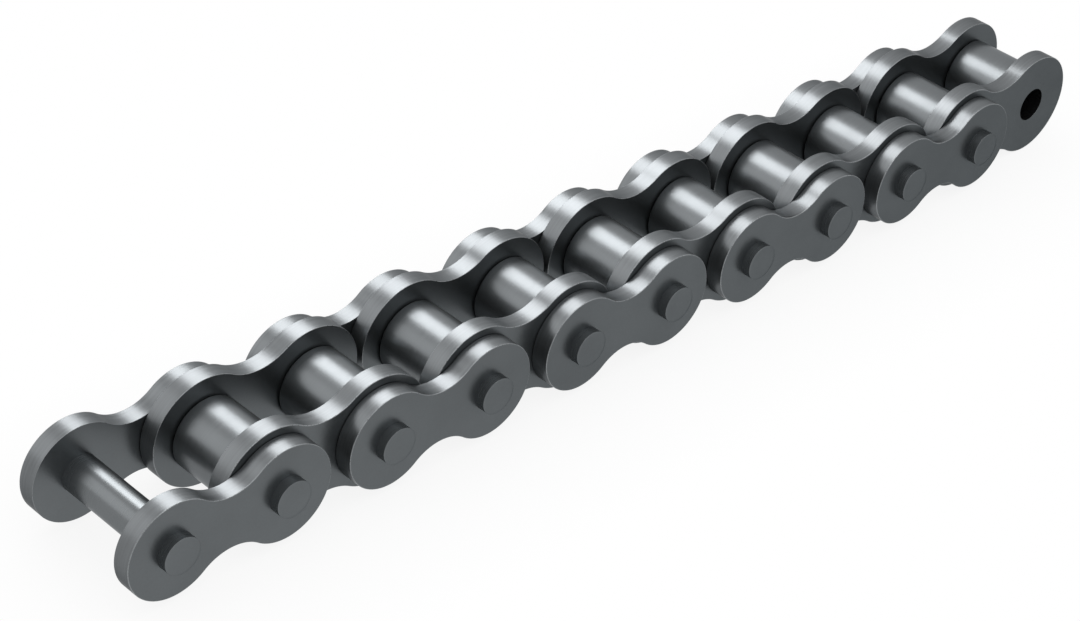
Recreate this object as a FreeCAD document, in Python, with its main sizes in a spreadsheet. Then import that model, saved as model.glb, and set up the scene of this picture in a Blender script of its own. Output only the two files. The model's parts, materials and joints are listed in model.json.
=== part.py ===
import FreeCAD, Part
import math
import os
import Sketcher
from enum import IntEnum
from FreeCAD import Vector

# Heavy series roller chain of one inch pitch, a straight strand of outer and inner links in turn.
# X runs along the strand from the bare first pin to the empty last bush, Y along the pins, Z up.
# The strand stands on the edges of its taller inner plates, with the origin under its middle.

link_pairs = 5
pitches = 2 * link_pairs

# lengths closer than this are the same, in millimetres
same_length = 1e-6


class CurvePoint(IntEnum):
    # the points of an arc or circle that a sketch constraint can take
    start = 1
    end = 2
    centre = 3


# the sketch's own origin and axis, as a constraint names them
sketch_origin = (-1, CurvePoint.start)
sketch_x_axis = -1

doc = FreeCAD.newDocument("roller_chain")

# Driving sizes, in millimetres
driving_sizes = [
    ("pitch", 25.4, "from one pin axis to the next"),
    ("inner_width", 15.75, "free width between the inner plates, where a sprocket tooth runs"),
    ("roller_diameter", 15.88, "outside of a roller"),
    ("roller_clearance", 0.07, "radial, between a bush and its roller"),
    ("roller_side_clearance", 0.12, "between a roller's end and the inner plate beside it"),
    ("roller_edge_radius", 0.6, "rounding of a roller's outer edges"),
    ("roller_bore_chamfer", 0.3, "at both mouths of a roller's bore"),
    ("pin_diameter", 7.94, "bearing pin"),
    ("pin_clearance", 0.03, "radial, between a pin and its bush"),
    ("pin_stand_out", 2.075, "how far a pin's end stands out of the outer plate"),
    ("pin_end_chamfer", 0.25, "at both ends of a pin"),
    ("bush_wall", 1.65, "from a bush's bore to its outside"),
    ("bush_bore_chamfer", 0.2, "lead-in at both mouths of a bush"),
    ("inner_plate_height", 24.13, "twice the lobe radius of an inner plate"),
    ("inner_plate_waist", 16.8, "height of an inner plate half way between its holes"),
    ("inner_plate_thickness", 4.0, "sheet of the inner plates"),
    ("outer_plate_height", 20.83, "twice the lobe radius of an outer plate"),
    ("outer_plate_waist", 11.9, "height of an outer plate half way between its holes"),
    ("outer_plate_thickness", 4.0, "sheet of the outer plates"),
    ("plate_side_clearance", 0.15, "between an inner plate and the outer plate beside it"),
    ("plate_edge_chamfer", 0.25, "around both faces of every plate"),
]
sheet = doc.addObject("Spreadsheet::Sheet", "sizes")
for row, (alias, value, meaning) in enumerate(driving_sizes, 1):
    sheet.set(f"A{row}", alias)
    sheet.set(f"B{row}", str(value))
    sheet.set(f"C{row}", meaning)
    sheet.setAlias(f"B{row}", alias)
doc.recompute()


def size(alias):
    return float(sheet.get(alias))


# Sizes that follow from the driving ones, as rules for the document to work out
bush_bore = "(sizes.pin_diameter + 2 * sizes.pin_clearance)"
bush_outside = f"({bush_bore} + 2 * sizes.bush_wall)"
roller_bore = f"({bush_outside} + 2 * sizes.roller_clearance)"
roller_length = "(sizes.inner_width - 2 * sizes.roller_side_clearance)"
bush_length = "(sizes.inner_width + 2 * sizes.inner_plate_thickness)"
outer_plates_apart = f"({bush_length} + 2 * sizes.plate_side_clearance)"
pin_length = f"({outer_plates_apart} + 2 * sizes.outer_plate_thickness + 2 * sizes.pin_stand_out)"
inner_plate_y = "(sizes.inner_width + sizes.inner_plate_thickness) / 2"
outer_plate_y = f"({outer_plates_apart} + sizes.outer_plate_thickness) / 2"
lobe_difference = "(sizes.inner_plate_height - sizes.outer_plate_height)"
first_pin_x = f"-({pitches} * sizes.pitch + {lobe_difference} / 2) / 2"
pin_axis_z = "max(sizes.inner_plate_height; sizes.outer_plate_height) / 2"


def new_body(name, pin_number, across):
    # a piece whose own origin is on the axis of the given pin, at its own middle across the chain
    body = doc.addObject("PartDesign::Body", name)
    body.Label = name
    body.setExpression("Placement.Base.x", f"{first_pin_x} + {pin_number - 1} * sizes.pitch")
    body.setExpression("Placement.Base.y", across)
    body.setExpression("Placement.Base.z", pin_axis_z)
    return body


def side_view_sketch(body, name):
    # a sketch seen from the side of the chain, half way through the piece
    sketch = body.newObject("Sketcher::SketchObject", name)
    plane = next(f for f in body.Origin.OriginFeatures if f.Role == "XZ_Plane")
    sketch.AttachmentSupport = [(plane, "")]
    sketch.MapMode = "FlatFace"
    return sketch


def constrain(sketch, name, constraint, rule):
    index = sketch.addConstraint(constraint)
    sketch.renameConstraint(index, name)
    sketch.setExpression(f"Constraints.{name}", rule)


def on_origin(sketch, curve):
    # holds the centre of an arc or circle on the pin axis
    together = Sketcher.Constraint("Coincident", curve, CurvePoint.centre, *sketch_origin)
    sketch.addConstraint(together)


def middle_pad(body, sketch, name, thickness):
    pad = body.newObject("PartDesign::Pad", name)
    pad.Profile = sketch
    pad.SideType = "Symmetric"
    pad.setExpression("Length", thickness)


def arc(centre_x, centre_z, radius, start, end):
    circle = Part.Circle(Vector(centre_x, centre_z, 0), Vector(0, 0, 1), radius)
    return Part.ArcOfCircle(circle, start, end)


def plate_outline(sketch, kind, hole_diameter):
    # two round lobes on the pin axes, joined by hollow waist arcs that meet them smoothly
    lobe = size(f"{kind}_plate_height") / 2
    waist = size(f"{kind}_plate_waist") / 2
    half_pitch = size("pitch") / 2
    hollow = (half_pitch**2 + waist**2 - lobe**2) / (2 * (lobe - waist))
    hollow_z = waist + hollow
    lean = math.atan2(hollow_z, half_pitch)
    half_turn = math.pi
    left = sketch.addGeometry(arc(0, 0, lobe, lean, 2 * half_turn - lean))
    under = sketch.addGeometry(arc(half_pitch, -hollow_z, hollow, lean, half_turn - lean))
    right = sketch.addGeometry(arc(2 * half_pitch, 0, lobe, half_turn + lean, 3 * half_turn - lean))
    over = sketch.addGeometry(arc(half_pitch, hollow_z, hollow, half_turn + lean, 2 * half_turn - lean))
    for one, one_point, other, other_point in (
        (left, CurvePoint.end, under, CurvePoint.end),
        (under, CurvePoint.start, right, CurvePoint.start),
        (right, CurvePoint.end, over, CurvePoint.end),
        (over, CurvePoint.start, left, CurvePoint.start),
    ):
        sketch.addConstraint(Sketcher.Constraint("Tangent", one, one_point, other, other_point))
    on_origin(sketch, left)
    on_axis = Sketcher.Constraint("PointOnObject", right, CurvePoint.centre, sketch_x_axis)
    sketch.addConstraint(on_axis)
    sketch.addConstraint(Sketcher.Constraint("Equal", left, right))
    sketch.addConstraint(Sketcher.Constraint("Equal", under, over))
    ends = (left, CurvePoint.centre, right, CurvePoint.centre)
    spacing = Sketcher.Constraint("DistanceX", *ends, 2 * half_pitch)
    constrain(sketch, "pin_spacing", spacing, "sizes.pitch")
    lobe_rule = f"sizes.{kind}_plate_height / 2"
    constrain(sketch, "lobe_radius", Sketcher.Constraint("Radius", left, lobe), lobe_rule)
    # the hollow's radius that gives the waist its height, between lobes one pitch apart
    squares = f"sizes.pitch^2 + sizes.{kind}_plate_waist^2 - sizes.{kind}_plate_height^2"
    narrowing = f"sizes.{kind}_plate_height - sizes.{kind}_plate_waist"
    hollow_rule = f"({squares}) / (4 * ({narrowing}))"
    constrain(sketch, "hollow_radius", Sketcher.Constraint("Radius", under, hollow), hollow_rule)
    holes = []
    for lobe_arc, x in ((left, 0), (right, 2 * half_pitch)):
        circle = Part.Circle(Vector(x, 0, 0), Vector(0, 0, 1), lobe / 2)
        hole = sketch.addGeometry(circle)
        centres = (hole, CurvePoint.centre, lobe_arc, CurvePoint.centre)
        sketch.addConstraint(Sketcher.Constraint("Coincident", *centres))
        holes.append(hole)
    sketch.addConstraint(Sketcher.Constraint("Equal", holes[0], holes[1]))
    diameter = Sketcher.Constraint("Diameter", holes[0], lobe)
    constrain(sketch, "hole_diameter", diameter, hole_diameter)


def link_plate(name, kind, pin_number, across, hole_diameter):
    body = new_body(name, pin_number, across)
    sketch = side_view_sketch(body, f"{name}_outline")
    plate_outline(sketch, kind, hole_diameter)
    middle_pad(body, sketch, f"{name}_blank", f"sizes.{kind}_plate_thickness")
    return body


def round_outline(sketch, diameters):
    # concentric circles on the pin axis: the outside, and the bore where there is one
    for name, rule in diameters:
        circle = Part.Circle(Vector(0, 0, 0), Vector(0, 0, 1), size("pin_diameter"))
        edge = sketch.addGeometry(circle)
        on_origin(sketch, edge)
        diameter = Sketcher.Constraint("Diameter", edge, 2 * size("pin_diameter"))
        constrain(sketch, name, diameter, rule)


def round_piece(name, pin_number, diameters, length):
    body = new_body(name, pin_number, "0")
    sketch = side_view_sketch(body, f"{name}_section")
    round_outline(sketch, diameters)
    middle_pad(body, sketch, f"{name}_blank", length)
    return body


def edges_of(blank, wanted):
    names = []
    for number, edge in enumerate(blank.Shape.Edges, 1):
        in_end_face = edge.BoundBox.YLength < same_length
        if in_end_face and wanted(edge):
            names.append(f"Edge{number}")
    return names


def break_edges(body, kind, name, wanted, rule):
    # a chamfer or fillet on the chosen edges of the piece's end faces
    blank = body.Tip
    feature = body.newObject(f"PartDesign::{kind}", f"{body.Name}_{name}")
    feature.Base = (blank, edges_of(blank, wanted))
    feature.setExpression("Radius" if kind == "Fillet" else "Size", rule)


def outline_edge(edge):
    return not edge.isClosed()


def round_edge(edge):
    return edge.isClosed()


def outermost(body):
    # picks the round edges on the outside of the piece
    reach = max(e.Curve.Radius for e in body.Tip.Shape.Edges if e.isClosed())
    return lambda edge: edge.isClosed() and edge.Curve.Radius > reach - same_length


def innermost(body):
    # picks the round edges at the mouths of the piece's bore
    reach = min(e.Curve.Radius for e in body.Tip.Shape.Edges if e.isClosed())
    return lambda edge: edge.isClosed() and edge.Curve.Radius < reach + same_length


# The links and rollers, from the bare first pin to the empty last bush
plates, pins, bushes, rollers = [], [], [], []
sides = (("front", "-"), ("back", ""))
for link in range(1, link_pairs + 1):
    outer_pins = (2 * link - 1, 2 * link)
    for side, sign in sides:
        name = f"outer_link_{link}_{side}_plate"
        across = f"{sign}{outer_plate_y}"
        plates.append(link_plate(name, "outer", outer_pins[0], across, "sizes.pin_diameter"))
    for number in outer_pins:
        outside = [("outside", "sizes.pin_diameter")]
        pins.append(round_piece(f"pin_{number:02d}", number, outside, pin_length))
    inner_pins = (2 * link, 2 * link + 1)
    for side, sign in sides:
        name = f"inner_link_{link}_{side}_plate"
        across = f"{sign}{inner_plate_y}"
        plates.append(link_plate(name, "inner", inner_pins[0], across, bush_outside))
    for number in inner_pins:
        bush = [("outside", bush_outside), ("bore", bush_bore)]
        bushes.append(round_piece(f"bush_{number:02d}", number, bush, bush_length))
        roller = [("outside", "sizes.roller_diameter"), ("bore", roller_bore)]
        rollers.append(round_piece(f"roller_{number:02d}", number, roller, roller_length))
doc.recompute()

# Broken edges
for body in plates:
    break_edges(body, "Chamfer", "edge", outline_edge, "sizes.plate_edge_chamfer")
for body in pins:
    break_edges(body, "Chamfer", "ends", round_edge, "sizes.pin_end_chamfer")
for body in bushes:
    break_edges(body, "Chamfer", "mouths", innermost(body), "sizes.bush_bore_chamfer")
for body in rollers:
    break_edges(body, "Chamfer", "mouths", innermost(body), "sizes.roller_bore_chamfer")
doc.recompute()
for body in rollers:
    break_edges(body, "Fillet", "edge", outermost(body), "sizes.roller_edge_radius")
doc.recompute()

# Every feature is sound before anything is written
for thing in doc.Objects:
    if "Invalid" in thing.State or "Error" in thing.State:
        raise RuntimeError(f"{thing.Label} did not recompute: {thing.State}")
pieces = plates + pins + bushes + rollers
for body in pieces:
    if body.Shape.isNull() or not body.Shape.isValid():
        raise RuntimeError(f"{body.Label} has no valid shape")
    if len(body.Shape.Solids) != 1:
        raise RuntimeError(f"{body.Label} is not one solid")

os.makedirs("parts", exist_ok=True)
for body in pieces:
    body.Shape.exportStep(f"parts/{body.Label}.step")
print(f"{len(pieces)} pieces written")
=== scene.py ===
import bmesh
import bpy
import json
import math
from mathutils import Matrix, Vector


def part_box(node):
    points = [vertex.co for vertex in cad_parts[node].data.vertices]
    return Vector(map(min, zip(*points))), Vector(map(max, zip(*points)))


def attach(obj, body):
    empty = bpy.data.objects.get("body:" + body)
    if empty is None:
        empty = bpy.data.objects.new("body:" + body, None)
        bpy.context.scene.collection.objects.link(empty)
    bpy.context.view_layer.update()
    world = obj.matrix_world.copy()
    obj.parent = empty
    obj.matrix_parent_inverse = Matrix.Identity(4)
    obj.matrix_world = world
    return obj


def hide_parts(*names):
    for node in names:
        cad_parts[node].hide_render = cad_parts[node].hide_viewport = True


# Heavy duty roller chain: ten pitches of outer and inner links in turn, straight, on a pale floor.
# Every piece is modelled once at the world's middle and copied to the places that the frame gives.

mm = 0.001
near = 0.01 * mm  # points closer than this are one point

# how far a face looks along the chain's cross axis: 0 on the walls around it, 1 on the flat ends
facing = {"worn": 0.02, "chamfer": 0.1, "corner": 0.7, "flatEnd": 0.999}

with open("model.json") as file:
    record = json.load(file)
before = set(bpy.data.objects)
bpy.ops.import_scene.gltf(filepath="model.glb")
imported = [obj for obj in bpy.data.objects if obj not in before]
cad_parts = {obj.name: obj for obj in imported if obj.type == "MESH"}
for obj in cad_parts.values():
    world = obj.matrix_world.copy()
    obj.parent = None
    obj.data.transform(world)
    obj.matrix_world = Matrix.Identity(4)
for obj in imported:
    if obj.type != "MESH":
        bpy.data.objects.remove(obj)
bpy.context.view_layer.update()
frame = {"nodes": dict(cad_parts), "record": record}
bodies = frame["record"]["behaviour"]["bodies"]
bpy.ops.object.select_all(action="DESELECT")  # the loaded nodes come in selected
print("frame loaded,", len(frame["nodes"]), "nodes")


def middleOf(node):
    low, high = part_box(node)
    return (low + high) / 2


def sizeOf(node):
    low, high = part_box(node)
    return high - low


def bodyOf(node):
    return next(body for body, nodes in bodies.items() if node in nodes)


# the pitch and the fits that the pieces share, read off the frame
pitch = middleOf("pin_02").x - middleOf("pin_01").x
pinRadius = sizeOf("pin_01").z / 2
bushRadius = sizeOf("bush_02").z / 2


# editing helpers
def startEdit(mode):
    bpy.ops.object.mode_set(mode="EDIT")
    bpy.ops.mesh.select_mode(type=mode)


def endEdit():
    bpy.ops.object.mode_set(mode="OBJECT")


def pick(piece, wanted):
    # selects what wanted() accepts: verts, edges or faces, as the select mode says
    mesh = bmesh.from_edit_mesh(piece.data)
    inMode = {"VERT": mesh.verts, "EDGE": mesh.edges, "FACE": mesh.faces}
    bpy.ops.mesh.select_all(action="DESELECT")
    for kind in mesh.select_mode:
        for part in inMode[kind]:
            part.select_set(wanted(part))
    mesh.select_flush_mode()
    bmesh.update_edit_mesh(piece.data)


def isCorner(edge):
    # an edge where an end face meets a wall around the cross axis
    if len(edge.link_faces) != 2:
        return False
    one, other = (abs(face.normal.y) for face in edge.link_faces)
    return abs(one - other) > facing["corner"]


def edgeMiddle(edge):
    return (edge.verts[0].co + edge.verts[1].co) / 2


def offAxis(point, axisX=0.0):
    return math.hypot(point.x - axisX, point.z)


def applyModifier(piece, kind, **settings):
    modifier = piece.modifiers.new(kind.title(), kind)
    for key, value in settings.items():
        setattr(modifier, key, value)
    bpy.ops.object.modifier_apply(modifier=modifier.name)


def finishPiece(piece, smoothAngle=40):
    bpy.ops.object.shade_smooth_by_angle(angle=math.radians(smoothAngle))
    applyModifier(piece, "WEIGHTED_NORMAL", keep_sharp=True)
    bpy.ops.object.select_all(action="DESELECT")


# materials
noiseUse = {
    "layDetail": 3,
    "cloudDetail": 2,
    "low": 0.3,  # nearly all of a noise lies from low to high
    "high": 0.7,
    "swing": 0.5,  # the share of its colour by which a steel could get lighter or darker
}


def steelFinish(name, look):
    # dark steel with a fine lay: grain gives the lay's fineness along x, y and z, in lines per metre
    steel = bpy.data.materials.new(name)
    steel.use_nodes = True
    nodes, links = steel.node_tree.nodes, steel.node_tree.links
    shader = nodes["Principled BSDF"]
    shader.inputs["Metallic"].default_value = look["metal"]
    shader.inputs["Specular Tint"].default_value = (*look["edgeTint"], 1)
    place = nodes.new("ShaderNodeTexCoord")

    def noise(scale, detail):
        mapping = nodes.new("ShaderNodeMapping")
        mapping.inputs["Scale"].default_value = scale
        links.new(place.outputs["Object"], mapping.inputs["Vector"])
        texture = nodes.new("ShaderNodeTexNoise")
        texture.inputs["Scale"].default_value = 1
        texture.inputs["Detail"].default_value = detail
        links.new(mapping.outputs["Vector"], texture.inputs["Vector"])
        return texture.outputs["Fac"]

    def spread(value, low, high):
        # turns a noise into a value from low to high
        remap = nodes.new("ShaderNodeMapRange")
        remap.inputs["From Min"].default_value = noiseUse["low"]
        remap.inputs["From Max"].default_value = noiseUse["high"]
        remap.inputs["To Min"].default_value = low
        remap.inputs["To Max"].default_value = high
        links.new(value, remap.inputs["Value"])
        return remap.outputs["Result"]

    def added(one, other):
        total = nodes.new("ShaderNodeMath")
        total.operation = "ADD"
        links.new(one, total.inputs[0])
        links.new(other, total.inputs[1])
        return total.outputs["Value"]

    lay = noise(look["grain"], noiseUse["layDetail"])
    cloud = noise((look["cloud"],) * 3, noiseUse["cloudDetail"])

    # colour: the lay's light and dark lines, over slow clouds left by the hardening
    lines = spread(lay, -look["lines"], look["lines"])
    clouds = spread(cloud, -look["clouds"], look["clouds"])
    shade = added(lines, clouds)
    tint = nodes.new("ShaderNodeMix")
    tint.data_type = "RGBA"
    tint.inputs["A"].default_value = (*(c * (1 - noiseUse["swing"]) for c in look["color"]), 1)
    tint.inputs["B"].default_value = (*(c * (1 + noiseUse["swing"]) for c in look["color"]), 1)
    centred = nodes.new("ShaderNodeMath")
    centred.operation = "ADD"
    centred.inputs[1].default_value = 0.5  # no shade is half way from A to B, the colour itself
    links.new(shade, centred.inputs[0])
    links.new(centred.outputs["Value"], tint.inputs["Factor"])
    links.new(tint.outputs["Result"], shader.inputs["Base Color"])

    # roughness and relief follow the same lay
    polish = look["roughness"]
    links.new(spread(lay, polish - look["uneven"], polish + look["uneven"]), shader.inputs["Roughness"])
    bump = nodes.new("ShaderNodeBump")
    bump.inputs["Strength"].default_value = look["relief"]
    bump.inputs["Distance"].default_value = look["depth"]
    links.new(lay, bump.inputs["Height"])
    links.new(bump.outputs["Normal"], shader.inputs["Normal"])
    return steel


finishes = {
    "flatFace": {
        "color": (0.142, 0.153, 0.159), "edgeTint": (0.03, 0.03, 0.03), "metal": 0.92,
        "roughness": 0.32, "uneven": 0.03, "relief": 0.2, "depth": 0.01 * mm,
        "grain": (1800, 1800, 1800), "lines": 0.03, "cloud": 90, "clouds": 0.04,
    },
    "plateRim": {
        "color": (0.155, 0.164, 0.17), "edgeTint": (0.34, 0.345, 0.35), "metal": 0.85,
        "roughness": 0.32, "uneven": 0.03, "relief": 0.3, "depth": 0.015 * mm,
        "grain": (90, 2400, 90), "lines": 0.08, "cloud": 90, "clouds": 0.05,
    },
    # the plates' rounded edges: lighter than the rim, partly wear and partly a painted highlight along
    # each edge
    "wornEdge": {
        "color": (0.215, 0.227, 0.234), "edgeTint": (0.6, 0.61, 0.62), "metal": 0.85,
        "roughness": 0.3, "uneven": 0.05, "relief": 0.3, "depth": 0.01 * mm,
        "grain": (1800, 1800, 1800), "lines": 0.12, "cloud": 240, "clouds": 0.14,
    },
    "roundSteel": {
        "color": (0.15, 0.16, 0.166), "edgeTint": (0.6, 0.61, 0.62), "metal": 0.85,
        "roughness": 0.32, "uneven": 0.03, "relief": 0.2, "depth": 0.01 * mm,
        "grain": (60, 3200, 60), "lines": 0.03, "cloud": 110, "clouds": 0.04,
    },
    "groundPin": {
        "color": (0.15, 0.16, 0.166), "edgeTint": (0.6, 0.61, 0.62), "metal": 0.85,
        "roughness": 0.28, "uneven": 0.01, "relief": 0.03, "depth": 0.005 * mm,
        "grain": (60, 4200, 60), "lines": 0.01, "cloud": 110, "clouds": 0.03,
    },
    # the bores: nearly black, painted shade for the dark inside of a bore
    "oiledBore": {
        "color": (0.03, 0.031, 0.032), "edgeTint": (0.5, 0.5, 0.5), "metal": 0.85,
        "roughness": 0.38, "uneven": 0.04, "relief": 0.2, "depth": 0.01 * mm,
        "grain": (60, 3200, 60), "lines": 0.05, "cloud": 110, "clouds": 0.1,
    },
}
steels = {name: steelFinish(name, look) for name, look in finishes.items()}
print("steel finishes made:", ", ".join(steels))


def giveFinishes(piece, wall, others):
    # the walls around the chain's cross axis take one finish, and others says which faces take what
    piece.data.materials.append(steels[wall])
    startEdit("FACE")
    for steel, wanted in others.items():
        piece.data.materials.append(steels[steel])
        pick(piece, wanted)
        piece.active_material_index = len(piece.data.materials) - 1
        bpy.ops.object.material_slot_assign()
    endEdit()


def isFlatEnd(face):
    return abs(face.normal.y) > facing["flatEnd"]


def isEndOrChamfer(face):
    return abs(face.normal.y) > facing["chamfer"]


# link plates
outerPlate = {
    "waist": 11.9 * mm,  # height half way between the holes
    "outsideEdge": 0.15 * mm,  # rounding of the rim on the side away from the rollers
    "insideEdge": 0.06 * mm,
    "holeEdge": 0.03 * mm,
    "holeRadius": pinRadius,
    "like": "outer_link_1_front_plate",  # the node whose size it takes
}
innerPlate = {
    "waist": 16.8 * mm,
    "outsideEdge": 0.15 * mm,
    "insideEdge": 0.12 * mm,
    "holeEdge": 0.01 * mm,
    "holeRadius": bushRadius,
    "like": "inner_link_1_front_plate",
}
holeMargin = 0.2 * mm  # what is within this of a hole belongs to it
plateSteps = {
    "lobe": 44,  # spin steps in a quarter of a plate
    "hollow": 20,
    "hole": 14,
    "outsideEdge": 4,  # segments of a rounded edge
    "insideEdge": 3,
    "holeEdge": 2,
}


def modelPlate(name, plate):
    size = sizeOf(plate["like"])
    lobe, waist, hole, thick = size.z / 2, plate["waist"] / 2, plate["holeRadius"], size.y
    half = pitch / 2
    hollow = (half**2 + waist**2 - lobe**2) / (2 * (lobe - waist))  # meets the lobes smoothly
    hollowTop = waist + hollow
    lean = math.atan2(hollowTop, half)
    touch = Vector((half - lobe * math.cos(lean), 0, lobe * math.sin(lean)))  # lobe meets hollow
    holeTurn = Vector((half - hole * math.cos(lean), 0, hole * math.sin(lean)))

    # an edge from the hole to the rim at the right-hand end, spun up round the hole
    band = lobe - hole
    middle = (half + hole + band / 2, 0, -band / 2)
    bpy.ops.mesh.primitive_plane_add(size=band, location=middle, rotation=(math.pi / 2, 0, 0))
    piece = bpy.context.object
    piece.name = piece.data.name = name
    bpy.ops.object.transform_apply(location=True, rotation=True)
    startEdit("VERT")
    pick(piece, lambda vert: vert.co.z < -band / 2)
    bpy.ops.mesh.delete(type="VERT")
    bpy.ops.mesh.select_all(action="SELECT")
    steps = plateSteps["lobe"]
    bpy.ops.mesh.spin(steps=steps, angle=math.pi - lean, center=(half, 0, 0), axis=(0, 1, 0))

    # the hollow of the waist, from the lobe to the plate's middle
    pick(piece, lambda vert: (vert.co - touch).length < near)
    steps = plateSteps["hollow"]
    bpy.ops.mesh.spin(steps=steps, angle=math.pi / 2 - lean, center=(0, 0, hollowTop), axis=(0, -1, 0))

    # the rest of the hole, then straight to the plate's middle, in as many steps as the hollow
    pick(piece, lambda vert: (vert.co - holeTurn).length < near)
    steps = plateSteps["hole"]
    bpy.ops.mesh.spin(steps=steps, angle=lean, center=(half, 0, 0), axis=(0, 1, 0))
    bpy.ops.mesh.extrude_region_move(TRANSFORM_OT_translate={"value": (hole - half, 0, 0)})
    bpy.ops.mesh.select_mode(type="EDGE")
    toMiddle = half - hole - near
    pick(piece, lambda edge: abs(edgeMiddle(edge).z) < near and edge.calc_length() > toMiddle)
    bpy.ops.mesh.subdivide(number_cuts=plateSteps["hollow"] - plateSteps["hole"] - 1)
    pick(piece, lambda edge: not edge.link_faces)
    bpy.ops.mesh.bridge_edge_loops()
    bpy.ops.mesh.select_all(action="SELECT")
    bpy.ops.transform.translate(value=(0, -thick / 2, 0))
    endEdit()

    # the other three quarters, then the thickness
    applyModifier(piece, "MIRROR", use_axis=(True, False, True), merge_threshold=near)
    startEdit("FACE")
    bpy.ops.mesh.select_all(action="SELECT")
    bpy.ops.mesh.extrude_region_move(TRANSFORM_OT_translate={"value": (0, thick, 0)})
    bpy.ops.mesh.select_all(action="SELECT")
    bpy.ops.mesh.remove_doubles(threshold=near / 10)
    bpy.ops.mesh.normals_make_consistent(inside=False)

    # the rim's two edges, blanked round on the outside and tighter on the inside, and the hole's edges
    def byHole(point):
        return offAxis(point, math.copysign(half, point.x)) < hole + holeMargin

    def atHole(edge):
        return byHole(edgeMiddle(edge))

    # the edge faces that take the lighter colour, worn and painted with a highlight
    def isWornAndGlintFace(face):
        across = abs(face.normal.y)
        return facing["worn"] < across < facing["flatEnd"] and not byHole(face.calc_center_median())

    edges = {
        "outsideEdge": lambda edge: edgeMiddle(edge).y < 0 and not atHole(edge),
        "insideEdge": lambda edge: edgeMiddle(edge).y > 0 and not atHole(edge),
        "holeEdge": atHole,
    }
    bpy.ops.mesh.select_mode(type="EDGE")
    for edgeName, belongs in edges.items():
        pick(piece, lambda edge: isCorner(edge) and belongs(edge))
        bpy.ops.mesh.bevel(offset=plate[edgeName], segments=plateSteps[edgeName], affect="EDGES")
    endEdit()
    giveFinishes(piece, "plateRim", {"flatFace": isFlatEnd, "wornEdge": isWornAndGlintFace})
    finishPiece(piece)
    return piece


# round pieces, all turned about the chain's cross axis
pin = {
    "endEdge": 0.03 * mm,  # rounding at both ends
    "endSteps": 3,
    "endBand": 0.5 * mm,  # ring around each end's face
    "steps": 96,
    "like": "pin_01",
}
bush = {
    "bore": 4.0 * mm,  # radius
    "outsideEdge": 0.01 * mm,
    "outsideSteps": 2,
    "boreEdge": 0.06 * mm,
    "boreSteps": 2,
    "steps": 96,
    "like": "bush_02",
}
roller = {
    "bore": 5.72 * mm,
    "outsideEdge": 0.6 * mm,
    "outsideSteps": 5,
    "boreEdge": 0.3 * mm,
    "boreSteps": 2,
    "steps": 128,
    "like": "roller_02",
}


def turnedBar(name, item):
    width, radius = sizeOf(item["like"]).y, sizeOf(item["like"]).z / 2
    turn = (math.pi / 2, 0, 0)
    bpy.ops.mesh.primitive_cylinder_add(vertices=item["steps"], radius=radius, depth=width, rotation=turn)
    piece = bpy.context.object
    piece.name = piece.data.name = name
    bpy.ops.object.transform_apply(rotation=True)
    return piece


def modelPin(name, item):
    piece = turnedBar(name, item)
    startEdit("EDGE")
    pick(piece, isCorner)
    bpy.ops.mesh.bevel(offset=item["endEdge"], segments=item["endSteps"], affect="EDGES")
    bpy.ops.mesh.select_mode(type="FACE")
    pick(piece, isFlatEnd)
    bpy.ops.mesh.inset(thickness=item["endBand"], use_individual=True)
    endEdit()
    giveFinishes(piece, "groundPin", {"flatFace": isEndOrChamfer})
    finishPiece(piece)
    return piece


def modelTube(name, item, isEnd, boreFinish):
    # a bar whose ends are inset to the bore, opened there and joined through
    piece = turnedBar(name, item)
    outside = sizeOf(item["like"]).z / 2
    startEdit("FACE")
    pick(piece, isFlatEnd)
    bpy.ops.mesh.inset(thickness=outside - item["bore"], use_individual=True)
    bpy.ops.mesh.delete(type="FACE")
    bpy.ops.mesh.select_mode(type="EDGE")
    pick(piece, lambda edge: len(edge.link_faces) == 1)
    bpy.ops.mesh.bridge_edge_loops()
    bpy.ops.mesh.select_all(action="SELECT")
    bpy.ops.mesh.normals_make_consistent(inside=False)
    pick(piece, lambda edge: isCorner(edge) and offAxis(edgeMiddle(edge)) > outside - near)
    bpy.ops.mesh.bevel(offset=item["outsideEdge"], segments=item["outsideSteps"], affect="EDGES")
    pick(piece, lambda edge: isCorner(edge) and offAxis(edgeMiddle(edge)) < item["bore"] + near)
    bpy.ops.mesh.bevel(offset=item["boreEdge"], segments=item["boreSteps"], affect="EDGES")
    endEdit()

    def isBore(face):
        return offAxis(face.calc_center_median()) < item["bore"] and not isEnd(face)

    giveFinishes(piece, "roundSteel", {"flatFace": isEnd, boreFinish: isBore})
    finishPiece(piece)
    return piece


patterns = {
    "outerPlate": modelPlate("outerPlatePattern", outerPlate),
    "innerPlate": modelPlate("innerPlatePattern", innerPlate),
    "pin": modelPin("pinPattern", pin),
    # the bores take the nearly black colour, painted shade
    "bush": modelTube("bushPattern", bush, isEnd=isEndOrChamfer, boreFinish="oiledBore"),
    "roller": modelTube("rollerPattern", roller, isEnd=isFlatEnd, boreFinish="oiledBore"),
}
for kind, pattern in patterns.items():
    print("modelled", kind, "with", len(pattern.data.polygons), "faces")


# the strand: a copy of the right pattern at every node's place
# a node's name starts with the same word as its kind's slot
slots = {
    "outerPlate": "outer_plate_steel",
    "innerPlate": "inner_plate_steel",
    "pin": "pin_steel",
    "bush": "bush_steel",
    "roller": "roller_steel",
}


def kindOf(node):
    return next(kind for kind, slot in slots.items() if node.startswith(slot.split("_")[0]))


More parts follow.
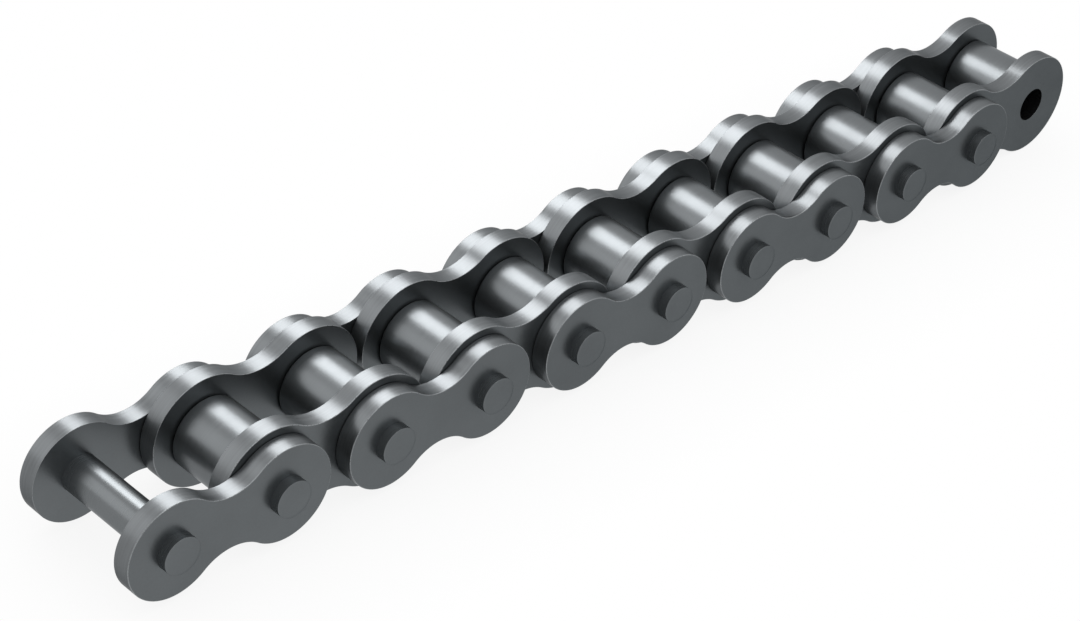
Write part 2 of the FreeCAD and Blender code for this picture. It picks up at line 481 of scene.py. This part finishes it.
def placePiece(node):
    kind = kindOf(node)
    name = "".join(word.title() for word in node.split("_"))
    piece = bpy.data.objects.new(name[0].lower() + name[1:], patterns[kind].data.copy())
    bpy.context.scene.collection.objects.link(piece)
    place = Matrix.Translation(middleOf(node))
    if middleOf(node).y > mm:
        place = place @ Matrix.Rotation(math.pi, 4, "Z")  # the back plates' outside faces the back
    piece.data.transform(place)
    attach(piece, bodyOf(node))
    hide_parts(node)
    return piece


strand = [placePiece(node) for node in sorted(frame["nodes"])]
for pattern in patterns.values():
    bpy.data.objects.remove(pattern)
print("strand joined from", len(strand), "pieces")


# floor, surroundings and lamps
studio = {
    "floorSize": 8,
    "floorDrop": 0.02 * mm,  # how far the floor keeps below the strand
    "floorColor": (0.86, 0.86, 0.86),
    "shadowReach": 35 * mm,  # how far round the strand the floor's soft shadow goes
    "shadowDepth": 0.12,  # how much of the white it takes
    "shadowSamples": 8,  # rays that look for it
    "roomLight": 0.72,
}


def seenDirectly(tree):
    # 1 for rays from the camera, or off and through shiny things, which see the pale room itself
    path = tree.nodes.new("ShaderNodeLightPath")
    total = path.outputs["Is Camera Ray"]
    for ray in ("Is Glossy Ray", "Is Transmission Ray"):
        either = tree.nodes.new("ShaderNodeMath")
        either.operation = "MAXIMUM"
        tree.links.new(total, either.inputs[0])
        tree.links.new(path.outputs[ray], either.inputs[1])
        total = either.outputs["Value"]
    return total


def makeFloor():
    bpy.ops.mesh.primitive_plane_add(size=studio["floorSize"], location=(0, 0, -studio["floorDrop"]))
    floor = bpy.context.object
    floor.name = "floor"
    paint = bpy.data.materials.new("paleFloor")
    paint.use_nodes = True
    tree = paint.node_tree
    tree.nodes.clear()
    output = tree.nodes.new("ShaderNodeOutputMaterial")
    matt = tree.nodes.new("ShaderNodeBsdfDiffuse")
    matt.inputs["Color"].default_value = (*studio["floorColor"], 1)
    white = tree.nodes.new("ShaderNodeEmission")
    pale = tree.nodes.new("ShaderNodeMixShader")
    tree.links.new(seenDirectly(tree), pale.inputs["Fac"])
    tree.links.new(matt.outputs["BSDF"], pale.inputs[1])
    tree.links.new(white.outputs["Emission"], pale.inputs[2])

    # the camera sees the white room through it, less a soft shadow where the strand stands
    closeness = tree.nodes.new("ShaderNodeAmbientOcclusion")
    closeness.samples = studio["shadowSamples"]
    closeness.inputs["Distance"].default_value = studio["shadowReach"]
    shadow = tree.nodes.new("ShaderNodeMapRange")
    shadow.inputs["To Min"].default_value = 1 - studio["shadowDepth"]
    tree.links.new(closeness.outputs["AO"], shadow.inputs["Value"])
    clear = tree.nodes.new("ShaderNodeBsdfTransparent")
    tree.links.new(shadow.outputs["Result"], clear.inputs["Color"])

    # so that links folded below the floor stay in view, and get the light from above it
    path = tree.nodes.new("ShaderNodeLightPath")
    side = tree.nodes.new("ShaderNodeNewGeometry")
    through = tree.nodes.new("ShaderNodeMath")
    through.operation = "MAXIMUM"
    tree.links.new(path.outputs["Is Camera Ray"], through.inputs[0])
    tree.links.new(side.outputs["Backfacing"], through.inputs[1])
    mix = tree.nodes.new("ShaderNodeMixShader")
    tree.links.new(through.outputs["Value"], mix.inputs["Fac"])
    tree.links.new(pale.outputs["Shader"], mix.inputs[1])
    tree.links.new(clear.outputs["BSDF"], mix.inputs[2])
    tree.links.new(mix.outputs["Shader"], output.inputs["Surface"])
    floor.data.materials.append(paint)


def makeRoom():
    room = bpy.data.worlds.new("paleRoom")
    bpy.context.scene.world = room
    room.use_nodes = True
    tree = room.node_tree
    tree.nodes.clear()
    output = tree.nodes.new("ShaderNodeOutputWorld")
    lighting = tree.nodes.new("ShaderNodeBackground")
    lighting.inputs["Strength"].default_value = studio["roomLight"]
    backdrop = tree.nodes.new("ShaderNodeBackground")
    mix = tree.nodes.new("ShaderNodeMixShader")
    for light in (lighting, backdrop):
        light.inputs["Color"].default_value = (1, 1, 1, 1)
    tree.links.new(seenDirectly(tree), mix.inputs["Fac"])
    tree.links.new(lighting.outputs["Background"], mix.inputs[1])
    tree.links.new(backdrop.outputs["Background"], mix.inputs[2])
    tree.links.new(mix.outputs["Shader"], output.inputs["Surface"])


# softboxes: where each stands, its two sizes, how bright its face is (1 is white), and whether it
# shows in the steel's shine alone, to bring out the rims and rollers from behind and from the ends
softboxes = {
    "topSoftbox": {
        "place": (0.03, 0.18, 0.25), "size": (0.18, 0.17), "brightness": 6.1, "shineOnly": False,
    },
    "sideCard": {
        "place": (-0.33, 0.26, 0.25), "size": (0.28, 0.28), "brightness": 0.8, "shineOnly": False,
    },
    "nearSoftbox": {
        "place": (0.05, -0.3, 0.22), "size": (0.26, 0.16), "brightness": 2.4, "shineOnly": True,
    },
    "overSoftbox": {
        "place": (0.0, -0.01, 0.34), "size": (0.5, 0.1), "brightness": 2.2, "shineOnly": True,
    },
}


def makeSoftbox(name, box):
    bpy.ops.object.light_add(type="AREA", location=box["place"])
    lamp = bpy.context.object
    lamp.name = name
    lamp.data.shape = "RECTANGLE"
    lamp.data.size, lamp.data.size_y = box["size"]
    lamp.data.energy = box["brightness"] * math.pi * math.prod(box["size"])
    aim = middleOf("roller_06") - Vector(box["place"])
    lamp.rotation_euler = aim.to_track_quat("-Z", "Y").to_euler()
    lamp.visible_camera = False
    lamp.visible_diffuse = not box["shineOnly"]


makeFloor()
makeRoom()
for name, box in softboxes.items():
    makeSoftbox(name, box)
print("studio lit with", len(softboxes), "softboxes")

# camera, where the photograph was taken from
view = {
    "place": (-0.35190, -0.30324, 0.31734),
    "aim": (-0.02265, 0, 0.00992),  # what is in the middle of the picture
    "roll": 5.631,  # degrees, the picture's right side up
    "lens": 89.146,  # mm, as is the sensor's width
    "sensor": 36,
    "clipStart": 0.01,  # metres
}


def makeCamera():
    bpy.ops.object.camera_add(location=view["place"])
    camera = bpy.context.object
    camera.name = "photoCamera"
    camera.data.lens = view["lens"]
    camera.data.sensor_width = view["sensor"]
    camera.data.clip_start = view["clipStart"]
    aim = Vector(view["aim"]) - Vector(view["place"])
    level = aim.to_track_quat("-Z", "Y").to_matrix().to_4x4()
    roll = Matrix.Rotation(math.radians(view["roll"]), 4, "Z")
    camera.matrix_world = Matrix.Translation(view["place"]) @ level @ roll
    bpy.context.scene.camera = camera


makeCamera()
bpy.context.scene.view_settings.view_transform = "Standard"
print("camera placed")
